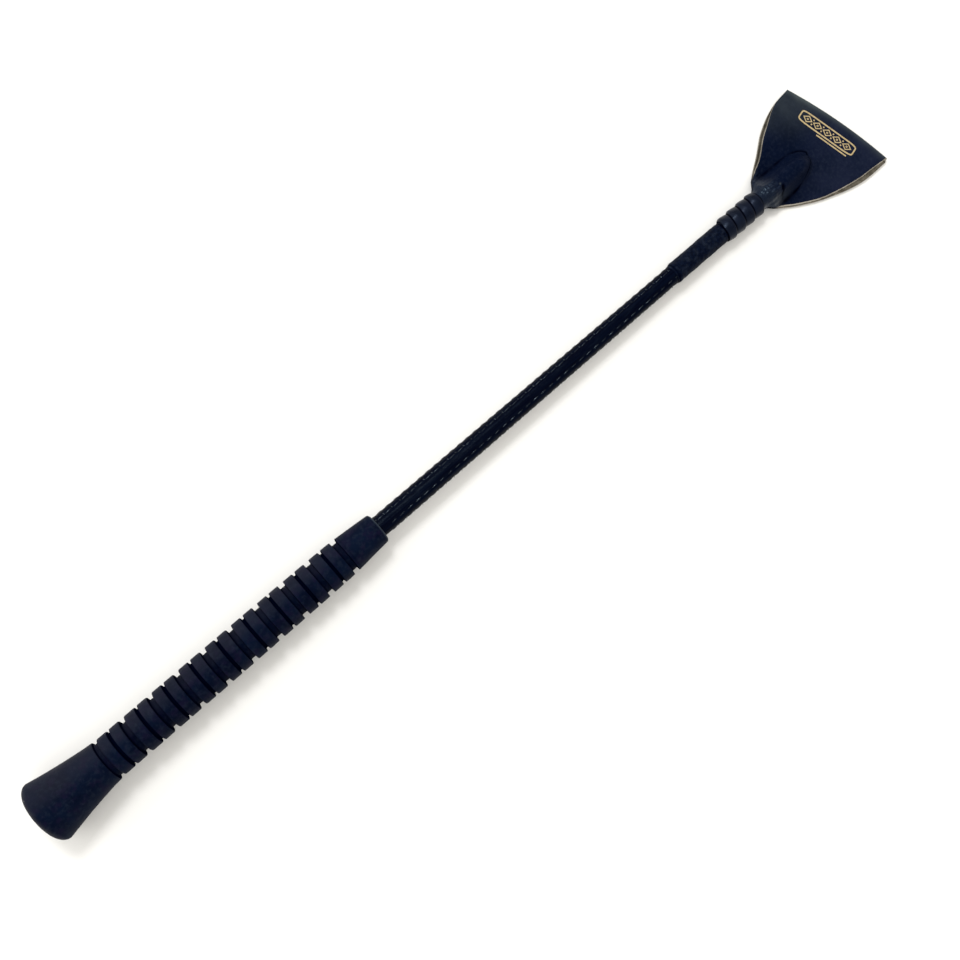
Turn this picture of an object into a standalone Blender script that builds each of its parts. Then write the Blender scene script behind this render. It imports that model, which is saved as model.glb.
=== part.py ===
"""Riding crop: a short jumping bat with a ribbed rubber grip, a braided shaft and a folded leather keeper.

Metres, +Z up. The crop lies on the plane z = 0 as it lies on a table, butt towards -X and keeper
towards +X, resting on the flared butt and on the flat underside of the keeper. The origin is the
bottom centre of the whole crop's box. Stations called x are distances from the butt's end.
"""

import math

import bmesh
import bpy
from mathutils import Vector

MM = 0.001
GAP = 0.3 * MM  # clearance kept between touching pieces

# Rubber grip, one moulding
GRIP_LENGTH = 198.0 * MM
BUTT_FACE_RADIUS = 6.6 * MM
BELL_RADIUS = 15.6 * MM
BELL_STATION = 5.4 * MM  # where the flared butt is widest
NECK_STATION = 37.8 * MM
NECK_RADIUS = 10.5 * MM
FLARE_POWER = 1.3
GROOVE_COUNT = 10  # wide square grooves, with one narrow V groove between each two
FIRST_GROOVE = 39.5 * MM
GROOVE_PITCH = 15.27 * MM
GROOVE_WIDTH = 3.0 * MM
GROOVE_DEPTH_REAR = 2.2 * MM
FIRST_DEPTH = 1.3 * MM  # the groove next to the flared butt is shallower
FIRST_WIDTH = 2.5 * MM
GROOVE_DEPTH_FRONT = 2.0 * MM
NARROW_WIDTH = 1.5 * MM  # of the V groove, at its mouth
NARROW_DEPTH = 1.4 * MM
RIB_RADIUS_REAR = 10.2 * MM
RIB_RADIUS_DROP = 0.66 * MM
RIB_DROP_POWER = 3.0
COLLAR_RADIUS_REAR = 9.35 * MM
COLLAR_RADIUS_FRONT = 7.85 * MM
COLLAR_END = 197.0 * MM
BORE_START = 9.0 * MM  # solid rubber behind this station
GRIP_SEGMENTS = 40

# Shaft, from the core outwards
SHAFT_START = BORE_START + GAP
SHAFT_END = 474.2 * MM
SHAFT_RADIUS_REAR = 5.87 * MM  # outside of the braid, projected to the butt's end
SHAFT_TAPER = 0.0037  # radius lost along each unit of length
BRAID_WALL = 0.8 * MM
ROD_RADIUS_REAR = 3.0 * MM
ROD_RADIUS_TIP = 2.1 * MM
ROD_INSET = 1.0 * MM  # the rod stops this far inside the braid's end
ROD_CHAMFER = 0.8 * MM
SHAFT_SEGMENTS = 24

# Bindings
WHIPPING_START = 388.2 * MM
WHIPPING_END = 421.4 * MM
WHIPPING_RADIUS = 5.1 * MM
WHIPPING_EASE = 2.5 * MM  # length over which the winding climbs to its full radius
TIP_WHIPPING_START = 464.2 * MM
TIP_WHIPPING_END = 472.2 * MM
TIP_WHIPPING_WALL = 0.35 * MM
LACE_START = 422.2 * MM
LACE_TURNS = 3  # full turns, which show as four bands side by side
LACE_PITCH = 6.3 * MM
LACE_WIDTH = 5.6 * MM
LACE_THICKNESS = 0.6 * MM
LACE_STEPS = 24  # for each turn

# Keeper: one hide folded over the far edge, split at the line where it flexes.
# Its sides are (station, offset) points in millimetres, joined by smooth curves.
LEATHER = 1.6 * MM
TAIL_LEATHER = 0.6 * MM  # pared thin where the lace binds it
TAIL_START = 423.2 * MM
TAIL_END = 447.0 * MM
WINGS_START = 452.6 * MM  # from here the two leaves lie flat on each other
TAIL_HALF_ANGLE = math.radians(72.0)
LEAF_GAP = 0.2 * MM
POCKET_HALF_WIDTH = 8.7 * MM
POCKET_ROUND_START = 468.2 * MM
POCKET_FALL_START = SHAFT_END + 1.0 * MM
POCKET_END = 485.8 * MM
POCKET_FLANK_ANGLE = math.radians(57.0)  # where the leather leaves the shaft's round side
POCKET_CLEARANCE = TIP_WHIPPING_WALL + 1.5 * GAP  # round the braid's outside
FLEX_STATION = 488.5 * MM
FLEX_CLEARANCE = 0.85 * MM  # on each side of the flex line
LEFT_SIDE = [(447.5, 6.8), (457.0, 12.6), (466.0, 19.3), (474.0, 25.3), (482.5, 29.2), (491.3, 32.1), (500.8, 33.4)]
RIGHT_SIDE = [(447.5, -5.2), (457.3, -10.2), (466.0, -15.3), (478.5, -21.1), (499.0, -27.0), (518.2, -27.4)]
FAR_EDGE_BULGE = 1.8 * MM
ACROSS = 24  # cells across the keeper
LEAF_POINTS = 4  # along each leaf of the flap
FOLD_STEPS = 5  # round its far edge

# How the crop lies
TIP_AXIS_HEIGHT = LEATHER + POCKET_CLEARANCE + SHAFT_RADIUS_REAR - SHAFT_TAPER * SHAFT_END
TILT = math.asin((BELL_RADIUS - TIP_AXIS_HEIGHT) / (SHAFT_END - BELL_STATION))
BUTT_AXIS_HEIGHT = BELL_RADIUS * math.cos(TILT) + BELL_STATION * math.sin(TILT)
FAR_RIGHT_CORNER = Vector(RIGHT_SIDE[-1]) * MM
FAR_LEFT_CORNER = Vector(LEFT_SIDE[-1]) * MM
BUTT_OVERHANG = BUTT_FACE_RADIUS * math.sin(TILT)
CENTRE_X = (FAR_RIGHT_CORNER.x - BUTT_OVERHANG) / 2
CENTRE_Y = (FAR_RIGHT_CORNER.y + FAR_LEFT_CORNER.y) / 2


def lerp(a, b, t):
    """The value a fraction t of the way from a to b."""
    return a + (b - a) * t


def smooth_step(start, end, x):
    """Rises from 0 at start to 1 at end with level ends."""
    t = min(1.0, max(0.0, (x - start) / (end - start)))
    return t * t * (3.0 - 2.0 * t)


def shaft_radius(x):
    """Outside radius of the braided cover at station x."""
    return SHAFT_RADIUS_REAR - SHAFT_TAPER * x


def rod_radius(x):
    """Radius of the fibreglass rod at station x."""
    return lerp(ROD_RADIUS_REAR, ROD_RADIUS_TIP, x / SHAFT_END)


def rib_radius(x):
    """Outside radius of the grip's ribs at station x."""
    along = max(0.0, (x - FIRST_GROOVE) / (GROOVE_PITCH * (GROOVE_COUNT - 1)))
    return RIB_RADIUS_REAR - RIB_RADIUS_DROP * along**RIB_DROP_POWER


def axis_height(x):
    """Height of the shaft's axis above the table at station x."""
    return BUTT_AXIS_HEIGHT - x * math.sin(TILT)


def material(name, colour, roughness, metallic=0.0):
    """A Principled BSDF material of one colour."""
    made = bpy.data.materials.new(name)
    made.use_nodes = True
    shader = made.node_tree.nodes["Principled BSDF"]
    shader.inputs["Base Color"].default_value = (*colour, 1.0)
    shader.inputs["Roughness"].default_value = roughness
    shader.inputs["Metallic"].default_value = metallic
    return made


def empty(name, location, parent=None, rotation=(0.0, 0.0, 0.0)):
    """A plain frame that pieces hang from."""
    made = bpy.data.objects.new(name, None)
    made.location = location
    made.rotation_euler = rotation
    made.parent = parent
    bpy.context.scene.collection.objects.link(made)
    return made


def finish(name, shape, surface, parent, smooth_angle=40.0):
    """Turns a bmesh into a named object with its faces out, shaded smooth below an edge angle."""
    bmesh.ops.remove_doubles(shape, verts=shape.verts, dist=1e-7)
    bmesh.ops.recalc_face_normals(shape, faces=shape.faces)
    mesh = bpy.data.meshes.new(name)
    shape.to_mesh(mesh)
    shape.free()
    mesh.shade_smooth()
    mesh.set_sharp_from_angle(angle=math.radians(smooth_angle))
    mesh.materials.append(surface)
    made = bpy.data.objects.new(name, mesh)
    made.parent = parent
    bpy.context.scene.collection.objects.link(made)
    return made


def turned(name, profile, segments, surface, parent, closed=False):
    """Spins a profile of (x, radius) points round the X axis. A closed profile makes a tube."""
    shape = bmesh.new()
    points = [shape.verts.new((x, 0.0, radius)) for x, radius in profile]
    edges = [shape.edges.new(pair) for pair in zip(points, points[1:])]
    if closed:
        edges.append(shape.edges.new((points[-1], points[0])))
    bmesh.ops.spin(
        shape,
        geom=points + edges,
        axis=(1.0, 0.0, 0.0),
        cent=(0.0, 0.0, 0.0),
        angle=2.0 * math.pi,
        steps=segments,
        use_merge=True,
    )
    return finish(name, shape, surface, parent)


def tube(name, stations, inner, outer, segments, surface, parent):
    """A turned tube whose walls follow two radius functions through the stations."""
    profile = [(x, outer(x)) for x in stations]
    profile += [(x, inner(x)) for x in reversed(stations)]
    return turned(name, profile, segments, surface, parent, closed=True)


def lofted(name, rings, surface, parent, cap=None):
    """Joins closed rings of equally many points with quads and closes both ends.

    A cap lists the faces of one end as tuples of places in the ring; without it an end is one polygon.
    """
    shape = bmesh.new()
    made = [[shape.verts.new(point) for point in ring] for ring in rings]
    count = len(rings[0])
    for ring, after in zip(made, made[1:]):
        for i in range(count):
            j = (i + 1) % count
            shape.faces.new((ring[i], ring[j], after[j], after[i]))
    cap = cap or [tuple(range(count))]
    caps = [shape.faces.new([end[i] for i in face]) for end in (made[0], made[-1]) for face in cap]
    bmesh.ops.triangulate(shape, faces=caps)
    return finish(name, shape, surface, parent)


def bell_profile():
    """The butt: flat end face, rounded rim and a flare that hollows towards the ribs."""
    points = [(0.0, 0.0), (0.0, BUTT_FACE_RADIUS)]
    rim_steps = 6
    for i in range(1, rim_steps + 1):
        angle = 0.5 * math.pi * i / rim_steps
        x = BELL_STATION * (1.0 - math.cos(angle))
        points.append((x, lerp(BUTT_FACE_RADIUS, BELL_RADIUS, math.sin(angle))))
    flare_steps = 5
    for i in range(1, flare_steps + 1):
        along = i / flare_steps
        x = lerp(BELL_STATION, NECK_STATION, along)
        points.append((x, lerp(NECK_RADIUS, BELL_RADIUS, (1.0 - along) ** FLARE_POWER)))
    return points


def groove_profile(index):
    """One wide square groove and, unless it is the last, the narrow groove in front of it."""
    centre = FIRST_GROOVE + index * GROOVE_PITCH
    width = GROOVE_WIDTH if index else FIRST_WIDTH
    rear = centre - width / 2
    front = centre + width / 2
    depth = lerp(GROOVE_DEPTH_REAR, GROOVE_DEPTH_FRONT, index / (GROOVE_COUNT - 1)) if index else FIRST_DEPTH
    floor = rib_radius(centre) - depth
    points = [(rear, rib_radius(rear)), (rear, floor), (front, floor), (front, rib_radius(front))]
    if index == GROOVE_COUNT - 1:
        points[-1] = (front, COLLAR_RADIUS_REAR)
        return points
    middle = centre + GROOVE_PITCH / 2
    for side, depth in ((-0.5, 0.0), (0.0, NARROW_DEPTH), (0.5, 0.0)):
        x = middle + side * NARROW_WIDTH
        points.append((x, rib_radius(x) - depth))
    return points


def bore_radius(x):
    """Inside radius of the grip."""
    return shaft_radius(x) + GAP


def make_grip(surface, parent):
    """The one-piece rubber grip with its blind bore."""
    profile = bell_profile()
    for index in range(GROOVE_COUNT):
        profile += groove_profile(index)
    profile += [
        (COLLAR_END, COLLAR_RADIUS_FRONT),
        (COLLAR_END + 0.75 * MM, COLLAR_RADIUS_FRONT - 0.75 * MM),
        (GRIP_LENGTH, bore_radius(GRIP_LENGTH) + 0.5 * MM),
        (GRIP_LENGTH, bore_radius(GRIP_LENGTH)),
        (BORE_START, bore_radius(BORE_START)),
        (BORE_START, 0.0),
    ]
    return turned("rubber_grip", profile, GRIP_SEGMENTS, surface, parent)


def make_shaft(rod_surface, filler_surface, braid_surface, parent):
    """The fibreglass rod, the filler round it and the braided cover over both."""
    rod_end = SHAFT_END - ROD_INSET
    rod = [
        (SHAFT_START, 0.0),
        (SHAFT_START, rod_radius(SHAFT_START)),
        (rod_end - ROD_CHAMFER, rod_radius(rod_end)),
        (rod_end, rod_radius(rod_end) - ROD_CHAMFER),
        (rod_end, 0.0),
    ]
    turned("core_rod", rod, SHAFT_SEGMENTS, rod_surface, parent)
    ends = [SHAFT_START, SHAFT_END]
    tube(
        "filler_sleeve",
        ends,
        lambda x: rod_radius(x) + GAP / 2,
        lambda x: shaft_radius(x) - BRAID_WALL - GAP / 2,
        SHAFT_SEGMENTS,
        filler_surface,
        parent,
    )
    tube(
        "braided_cover",
        ends,
        lambda x: shaft_radius(x) - BRAID_WALL,
        shaft_radius,
        SHAFT_SEGMENTS,
        braid_surface,
        parent,
    )


def make_whippings(surface, parent):
    """Thread wound round the shaft behind the keeper, and round the braid's end inside it."""
    stations = [WHIPPING_START, WHIPPING_START + WHIPPING_EASE, WHIPPING_END]

    def outer(x):
        rise = min(1.0, (x - WHIPPING_START) / WHIPPING_EASE)
        return lerp(shaft_radius(x) + 1.5 * GAP, WHIPPING_RADIUS, rise)

    tube(
        "keeper_whipping",
        stations,
        lambda x: shaft_radius(x) + GAP / 2,
        outer,
        SHAFT_SEGMENTS,
        surface,
        parent,
    )
    tube(
        "tip_whipping",
        [TIP_WHIPPING_START, TIP_WHIPPING_END],
        lambda x: shaft_radius(x) + GAP / 3,
        lambda x: shaft_radius(x) + GAP / 3 + TIP_WHIPPING_WALL,
        SHAFT_SEGMENTS,
        surface,
        parent,
    )


def tail_inner_radius(x):
    """Inside radius of the keeper's tails, round the shaft under the lace."""
    return shaft_radius(x) + 0.8 * GAP


def lace_radius(x):
    """Inside radius of the wound lace."""
    return tail_inner_radius(x) + TAIL_LEATHER + 0.8 * GAP


def make_lace(surface, parent):
    """A leather lace wound in a helix round the keeper's tails, crowned across its width."""
    section = [(-0.5, 0.0), (-0.5, 0.55), (-0.2, 1.0), (0.25, 1.0), (0.5, 0.6), (0.5, 0.0)]
    rings = []
    for step in range(LACE_TURNS * LACE_STEPS + 1):
        turn = step / LACE_STEPS
        centre = LACE_START + LACE_WIDTH / 2 + turn * LACE_PITCH
        angle = 2.0 * math.pi * turn
        ring = []
        for across, height in section:
            x = centre + across * LACE_WIDTH
            radius = lace_radius(x) + height * LACE_THICKNESS
            ring.append((x, radius * math.sin(angle), radius * math.cos(angle)))
        rings.append(ring)
    return lofted("binding_lace", rings, surface, parent)


def side_offset(side, x):
    """The keeper's half width at station x, on a smooth curve through one side's points."""
    points = [(px * MM, py * MM) for px, py in side]
    x = min(points[-1][0], max(points[0][0], x))
    index = max(i for i in range(len(points) - 1) if points[i][0] <= x)
    (x0, y0), (x1, y1) = points[index], points[index + 1]

    def slope(i):
        before = points[max(0, i - 1)]
        after = points[min(len(points) - 1, i + 1)]
        return (after[1] - before[1]) / (after[0] - before[0])

    t = (x - x0) / (x1 - x0)
    span = x1 - x0
    start_part = (1 + 2 * t) * (1 - t) ** 2 * y0 + t * (1 - t) ** 2 * span * slope(index)
    end_part = t * t * (3 - 2 * t) * y1 + t * t * (t - 1) * span * slope(index + 1)
    return start_part + end_part


def pocket_profile(across):
    """The pocket's height as a share of its middle: a round crown, then straight flanks."""
    crown = (shaft_radius(SHAFT_END) + POCKET_CLEARANCE) / POCKET_HALF_WIDTH
    crown_end = crown * math.sin(POCKET_FLANK_ANGLE)
    if across < crown_end:
        return 0.5 + 0.5 * math.sqrt(1.0 - (across / crown) ** 2)
    flank_top = 0.5 + 0.5 * math.cos(POCKET_FLANK_ANGLE)
    return flank_top * (1.0 - across) / (1.0 - crown_end)


def pocket_shape(x, y):
    """Height of the pocket's inside above the lower leaf, over the shaft's tip."""
    along = max(0.0, (x - POCKET_ROUND_START) / (POCKET_END - POCKET_ROUND_START))
    if along >= 1.0:
        return 0.0
    half_width = POCKET_HALF_WIDTH * math.sqrt(1.0 - along * along)
    across = abs(y) / half_width
    if across >= 1.0:
        return 0.0
    past_tip = max(0.0, (x - POCKET_FALL_START) / (POCKET_END - POCKET_FALL_START))
    rise = axis_height(x) + shaft_radius(x) + POCKET_CLEARANCE - LEATHER - LEAF_GAP
    return rise * (1.0 - past_tip**2) * pocket_profile(across)


def leaf_ring(x, upper):
    """One cross-section of a keeper leaf: the inner face from right to left, then the outer face back."""
    wings = smooth_step(TAIL_END, WINGS_START, x)
    sign = 1.0 if upper else -1.0
    radius = tail_inner_radius(x)
    inner = []
    outer = []
    for i in range(ACROSS + 1):
        across = i / ACROSS
        angle = TAIL_HALF_ANGLE * (2.0 * across - 1.0)
        direction = Vector((0.0, math.sin(angle), sign * math.cos(angle)))
        axis = Vector((x, 0.0, axis_height(x)))
        tail_inner = axis + direction * radius
        tail_outer = axis + direction * (radius + TAIL_LEATHER)
        y = lerp(side_offset(RIGHT_SIDE, x), side_offset(LEFT_SIDE, x), across)
        if upper:
            height = LEATHER + LEAF_GAP + pocket_shape(x, y)
            wing_inner = Vector((x, y, height))
            wing_outer = Vector((x, y, height + LEATHER))
        else:
            wing_inner = Vector((x, y, LEATHER))
            wing_outer = Vector((x, y, 0.0))
        inner.append(tail_inner.lerp(wing_inner, wings))
        outer.append(tail_outer.lerp(wing_outer, wings))
    return inner + outer[::-1]


def make_keeper_roots(surface, parent):
    """The two leaves from the lace to the flex line: tails round the shaft, then flat wings."""
    front = FLEX_STATION - FLEX_CLEARANCE
    tail = [TAIL_START, TAIL_END]
    spread = [lerp(TAIL_END, WINGS_START, i / 5) for i in range(1, 6)]
    pocket_steps = 10
    pocket = [lerp(WINGS_START, POCKET_END, i / pocket_steps) for i in range(1, pocket_steps + 1)]
    upper = [leaf_ring(x, True) for x in tail + spread + pocket + [front]]
    lofted("keeper_root_upper", upper, surface, parent)
    flat = [lerp(WINGS_START, front, i / 4) for i in range(1, 5)]
    lower = [leaf_ring(x, False) for x in tail + spread + flat]
    lofted("keeper_root_lower", lower, surface, parent)


def flap_ring(across):
    """One lengthwise section of the folded flap: round the outside, then back along the slot."""
    near = FLEX_STATION + FLEX_CLEARANCE
    far = lerp(FAR_RIGHT_CORNER.x, FAR_LEFT_CORNER.x, across)
    far += FAR_EDGE_BULGE * 4.0 * across * (1.0 - across)
    thickness = 2.0 * LEATHER + LEAF_GAP
    fold = far - thickness / 2
    straight = [lerp(near, fold, i / (LEAF_POINTS - 1)) for i in range(LEAF_POINTS)]
    section = [(x, thickness) for x in straight]
    for i in range(1, FOLD_STEPS):
        angle = math.pi * i / FOLD_STEPS
        section.append((fold + thickness / 2 * math.sin(angle), thickness / 2 * (1.0 + math.cos(angle))))
    section += [(x, 0.0) for x in reversed(straight)]
    section += [(x, LEATHER) for x in straight]
    section.append((fold + LEAF_GAP / 2, LEATHER + LEAF_GAP / 2))
    section += [(x, LEATHER + LEAF_GAP) for x in reversed(straight)]
    ring = []
    for x, z in section:
        y = lerp(side_offset(RIGHT_SIDE, x), side_offset(LEFT_SIDE, x), across)
        ring.append(Vector((x - FLEX_STATION, y, z - thickness / 2)))
    return ring


def flap_cap():
    """The faces of one cut side of the flap: two leaves, joined by a fan round the fold."""
    outer = 2 * LEAF_POINTS + FOLD_STEPS - 1  # points on the outside, then the lower inner edge starts
    apex = outer + LEAF_POINTS
    count = apex + 1 + LEAF_POINTS
    faces = []
    for i in range(LEAF_POINTS - 1):
        faces.append((i, i + 1, count - 2 - i, count - 1 - i))
        faces.append((outer - 1 - i, outer - 2 - i, outer + i + 1, outer + i))
    top_end = LEAF_POINTS - 1
    bottom_end = outer - LEAF_POINTS
    faces.append((top_end, top_end + 1, apex, apex + 1))
    faces += [(i, i + 1, apex) for i in range(top_end + 1, bottom_end - 1)]
    faces.append((bottom_end - 1, bottom_end, apex - 1, apex))
    return faces


def make_flap(surface, parent):
    """The folded free end of the keeper, with its origin on the flex line."""
    rings = [flap_ring(i / ACROSS) for i in range(ACROSS + 1)]
    lofted("keeper_flap", rings, surface, parent, flap_cap())


def main():
    for obj in list(bpy.data.objects):
        bpy.data.objects.remove(obj, do_unlink=True)
    rubber = material("rubber_grip", (0.012, 0.013, 0.020), 0.75)
    fibreglass = material("fibreglass", (0.55, 0.56, 0.48), 0.4)
    filler = material("filler", (0.10, 0.10, 0.10), 0.8)
    braid = material("braided_thread", (0.006, 0.007, 0.010), 0.3)
    thread = material("whipping_thread", (0.010, 0.011, 0.016), 0.5)
    leather = material("keeper_leather", (0.014, 0.016, 0.026), 0.55)
    lace = material("binding_lace", (0.012, 0.013, 0.019), 0.35)

    crop = empty("crop", (-CENTRE_X, -CENTRE_Y, 0.0))
    shaft_axis = empty("shaft_axis", (0.0, 0.0, BUTT_AXIS_HEIGHT), crop, (0.0, TILT, 0.0))
    flex_line = empty("flex_line", (FLEX_STATION, 0.0, LEATHER + LEAF_GAP / 2), crop)

    make_grip(rubber, shaft_axis)
    make_shaft(fibreglass, filler, braid, shaft_axis)
    make_whippings(thread, shaft_axis)
    make_lace(lace, shaft_axis)
    make_keeper_roots(leather, crop)
    make_flap(leather, flex_line)


main()
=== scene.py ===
import math

import bmesh
import bpy
import numpy as np
from mathutils import Matrix, Vector, noise


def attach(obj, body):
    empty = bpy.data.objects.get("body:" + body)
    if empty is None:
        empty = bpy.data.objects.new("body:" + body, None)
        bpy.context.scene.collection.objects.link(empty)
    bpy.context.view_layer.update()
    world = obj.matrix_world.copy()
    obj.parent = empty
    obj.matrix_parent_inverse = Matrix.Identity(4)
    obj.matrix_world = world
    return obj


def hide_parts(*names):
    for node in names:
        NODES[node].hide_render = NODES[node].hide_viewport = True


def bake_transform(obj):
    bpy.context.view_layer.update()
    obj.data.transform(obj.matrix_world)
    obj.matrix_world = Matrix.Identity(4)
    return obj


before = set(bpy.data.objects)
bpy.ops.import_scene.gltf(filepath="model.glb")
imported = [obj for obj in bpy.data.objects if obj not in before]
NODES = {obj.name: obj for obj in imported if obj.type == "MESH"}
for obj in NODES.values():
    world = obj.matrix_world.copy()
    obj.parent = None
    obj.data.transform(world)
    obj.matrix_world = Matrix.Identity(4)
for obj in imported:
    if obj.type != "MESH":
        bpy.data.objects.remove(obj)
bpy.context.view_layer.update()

MM = 0.001

WINDOW_POWER = 17.0
LAMP_POWER = 11.0
CEILING_POWER = 9.0
FAR_WINDOW_POWER = 2.0
WORLD_STRENGTH = 0.80
WORLD_COLOUR = (1.0, 0.965, 0.90, 1.0)

CAMERA_TILT = math.radians(9.415)
CAMERA_ROLL = math.radians(40.66)
CAMERA_SWING = math.radians(1.36221)
CAMERA_STATION = 150.4
CAMERA_HEIGHT = 594.0
SENSOR_WIDTH = 36.0
FOCAL_LENGTH = 1270.0 / 960.0  # in widths of the sensor

# Lengths are in millimetres. A station is the distance from the butt's end along the shaft's axis, and
# an angle round the shaft runs from the top towards +Y.
FULL_TURN = 2.0 * math.pi
SHAFT_START = 9.3
SHAFT_END = 474.2

GRIP_LENGTH = 198.0
BORE_END = 9.0
BORE_CLEARANCE = 0.3
BUTT_FACE_RADIUS = 6.6
BELL_RADIUS = 15.6
BELL_STATION = 5.4
NECK_STATION = 37.8
NECK_RADIUS = 10.5
COLLAR_RADIUS = 9.35
GROOVE_COUNT = 10  # wide grooves, with a narrow one midway between each two
FIRST_GROOVE = 39.5
GROOVE_PITCH = 15.27
GROOVES_END = 180.0
NARROW_HALF_WIDTH = 0.45
NARROW_DEPTH = 1.5
WINDOW_LIT_SIDE = math.radians(52.0)  # the side facing the window, made paler with painted light

BRAID_STITCHED = (196.0, 392.0)
BRAID_ROWS = 6  # rows of stitches, evenly round the shaft
ROW_SPACING = FULL_TURN / BRAID_ROWS
FIRST_ROW = math.radians(33.5)
ROW_HALF_WIDTH = math.radians(5.0)
ROW_DEPTH = 0.20
BRAID_THICKNESS = 0.8
STITCH_PITCH = 4.95
STITCH_LENGTH = 3.0
KNOT_HALF_LENGTH = 0.4

WHIPPING = (388.2, 421.9)
WHIPPING_PITCH = 0.72
WHIPPING_RADIUS = 5.12
LACE_START = 422.2
LACE_TURNS = 3
LACE_TUCK = 0.45  # of a turn, at each end
LACE_PITCH = 6.3
LACE_WIDTH = 6.2
LACE_BODY = 0.85  # how high its crest stands

LEATHER = 1.6
TAIL_LEATHER = 0.6
TAIL_GAP = 0.24  # between the shaft, the leather tail and the lace over it
TAIL = (423.2, 447.0)
SPREAD_END = 460.5  # from here the two leaves lie flat on each other
LEAF_GAP = 0.2
ARCH_HALF_WIDTH = 8.6  # the pressed line round the pocket
ARCH_START = 462.0
ARCH_END = 486.2
ARCH_DRIFT = 3.0  # how far its point lies off the axis
POCKET_BASE = 9.6  # to where the flanks run out
POCKET_ROUND_START = 468.2
POCKET_END = 485.8
POCKET_CLEARANCE = 0.8
POCKET_CROWN = math.radians(66.0)  # how far round the tip the crown goes before the flanks begin
LEFT_SIDE = [  # station and distance from the axis
    (447.5, 6.8),
    (457.0, 12.1),
    (466.0, 18.2),
    (474.0, 24.4),
    (482.5, 29.1),
    (491.3, 32.1),
    (500.8, 33.4),
]
RIGHT_SIDE = [
    (447.5, -5.2),
    (457.3, -10.2),
    (466.0, -15.3),
    (478.5, -21.1),
    (499.0, -27.0),
    (518.2, -27.4),
]
FAR_EDGE_BULGE = 1.8

ORNAMENT_MIDDLE = (499.7, 3.0)
ORNAMENT_SKEW = math.radians(15.2)
FOIL = (3.33, 3.43)  # lower and upper face
LOZENGES = 5
LOZENGE_PITCH = 6.1
FLOOR_GAP = 0.2  # between the floor and the crop


# ---------------------------------------------------------------- the shaft's frame


def ring_centre(node, far):
    """Middle of one end of a straight CAD tube."""
    points = [v.co for v in NODES[node].data.vertices]
    middle = sum(p.x for p in points) / len(points)
    ends = [p for p in points if (p.x > middle) == far]
    return sum(ends, Vector()) / len(ends)


REAR = ring_centre("braided_cover", False)
FRONT = ring_centre("braided_cover", True)
ALONG = (FRONT - REAR).normalized()
UP = ALONG.cross(Vector((0.0, 1.0, 0.0))).normalized()
BUTT = REAR - ALONG * SHAFT_START * MM
AXIS = Matrix.Translation(BUTT) @ Matrix((ALONG, (0.0, 1.0, 0.0), UP)).transposed().to_4x4()
FLAT = Matrix.Translation((BUTT.x, BUTT.y, 0.0))


def lerp(a, b, t):
    return a + (b - a) * t


def smooth(start, end, x):
    """Rises softly from 0 at start to 1 at end. It falls instead if start is beyond end."""
    t = min(1.0, max(0.0, (x - start) / (end - start)))
    return t * t * (3.0 - 2.0 * t)


def bell(x, width):
    """1 at zero, fading to both sides."""
    return math.exp(-((x / width) ** 2))


def lumps(*place):
    return noise.noise(Vector(place))


def shaft_radius(x):
    return 5.87 - 0.0037 * x


def axis_height(x):
    """Height of the shaft's axis above the floor."""
    return BUTT.z / MM + x * ALONG.z


def round_ring(x, radii, angles):
    """Points at one station, at a radius for each angle round the shaft."""
    return [(x, r * math.sin(a), r * math.cos(a)) for r, a in zip(radii, angles)]


def angles_round(segments):
    return [FULL_TURN * j / segments for j in range(segments)]


# ---------------------------------------------------------------- meshes


def facing_out(name, verts, faces, kinds=None, merge=0.0):
    """A mesh from millimetre points with its faces turned out. Points closer than merge become one."""
    mesh = bpy.data.meshes.new(name)
    mesh.from_pydata([tuple(v) for v in np.asarray(verts, float) * MM], [], faces)
    if kinds:
        mesh.polygons.foreach_set("material_index", kinds)
    work = bmesh.new()
    work.from_mesh(mesh)
    if merge:
        bmesh.ops.remove_doubles(work, verts=work.verts, dist=merge)
        bmesh.ops.dissolve_degenerate(work, edges=work.edges, dist=merge)
    bmesh.ops.recalc_face_normals(work, faces=work.faces)
    work.to_mesh(mesh)
    work.free()
    return mesh


def mesh_object(name, verts, faces, material, smooth_angle=35.0):
    """A closed piece in the shaft's frame."""
    return placed(name, facing_out(name, verts, faces, merge=1e-7), (material,), AXIS, smooth_angle)


def placed(name, mesh, materials, matrix, smooth_angle):
    """An object from a mesh in its own frame: keeps each point's place there, then moves it to the row's."""
    rest = mesh.attributes.new("rest", "FLOAT_VECTOR", "POINT")
    local = np.empty(len(mesh.vertices) * 3, np.float32)
    mesh.vertices.foreach_get("co", local)
    rest.data.foreach_set("vector", local)
    mesh.transform(matrix)
    mesh.shade_smooth()
    mesh.set_sharp_from_angle(angle=math.radians(smooth_angle))
    for material in materials:
        mesh.materials.append(material)
    made = bpy.data.objects.new(name, mesh)
    bpy.context.scene.collection.objects.link(made)
    return made


def rest_points(mesh):
    """Each point's place in the piece's own frame, in millimetres."""
    values = np.empty(len(mesh.vertices) * 3, np.float32)
    mesh.attributes["rest"].data.foreach_get("vector", values)
    return values.reshape(-1, 3) / MM


def store(mesh, name, values):
    """One number for each point, which a material reads by name."""
    mesh.attributes.new(name, "FLOAT", "POINT").data.foreach_set("value", np.asarray(values, np.float32))


def ring_faces(rows, columns, closed, offset=0):
    """Quads between successive rings of equally many points. closed joins the last ring to the first."""
    faces = []
    last = rows if closed else rows - 1
    for i in range(last):
        a = offset + i * columns
        b = offset + ((i + 1) % rows) * columns
        for j in range(columns):
            k = (j + 1) % columns
            faces.append((a + j, a + k, b + k, b + j))
    return faces


def end_faces(rows, columns, offset=0):
    """The two faces that close a row of rings at its ends."""
    last = offset + (rows - 1) * columns
    return [tuple(range(offset, offset + columns)), tuple(reversed(range(last, last + columns)))]


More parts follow.
